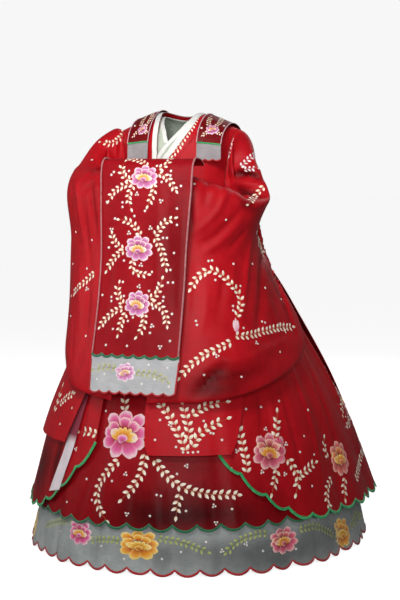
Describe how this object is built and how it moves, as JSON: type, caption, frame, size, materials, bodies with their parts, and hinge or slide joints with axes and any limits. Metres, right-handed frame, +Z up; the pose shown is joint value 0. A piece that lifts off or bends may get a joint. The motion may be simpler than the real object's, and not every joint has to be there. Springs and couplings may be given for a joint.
{
  "type": "korean hanbok",
  "caption": "Bridal hanbok as worn with nobody inside: wide-sleeved red robe, flared layered skirts, crossed white collars, shoulder ribbons and an embroidered cloth over the joined cuffs.",
  "frame": {"origin": "middle of the shoulder line at the neck, where the wearer carries the garment", "axes": "+Z up, -Y the front of the garment, +X the wearer's left"},
  "size_m": [1.115, 1.2819, 1.3989],
  "materials": {
    "red_silk": "satin",
    "red_organza": "sheer satin",
    "grey_organza": "sheer",
    "white_silk": "satin",
    "jade_silk": "brocade",
    "rose_piping": "satin"
  },
  "bodies": {
    "root": {"underskirt": "grey_organza", "skirt": "red_silk", "overskirt": "red_organza", "waistband": "white_silk", "white_tie": "white_silk", "robe_left_front": "red_silk", "robe_right_front": "red_silk", "robe_back": "red_silk", "robe_left_sleeve": "red_silk", "robe_right_sleeve": "red_silk", "robe_collar": "red_silk", "robe_collar_strip": "white_silk", "jacket_left_front": "jade_silk", "jacket_right_front": "jade_silk", "jacket_back": "jade_silk", "jacket_left_sleeve": "jade_silk", "jacket_right_sleeve": "jade_silk", "jacket_left_collar": "white_silk", "jacket_right_collar": "white_silk", "jacket_back_collar": "white_silk", "front_cloth": "red_silk", "front_cloth_end": "grey_organza", "front_cloth_left_piping": "rose_piping", "front_cloth_right_piping": "rose_piping", "left_ribbon": "red_silk", "right_ribbon": "red_silk", "left_ribbon_end": "grey_organza", "right_ribbon_end": "grey_organza"}
  },
  "joints": []
}
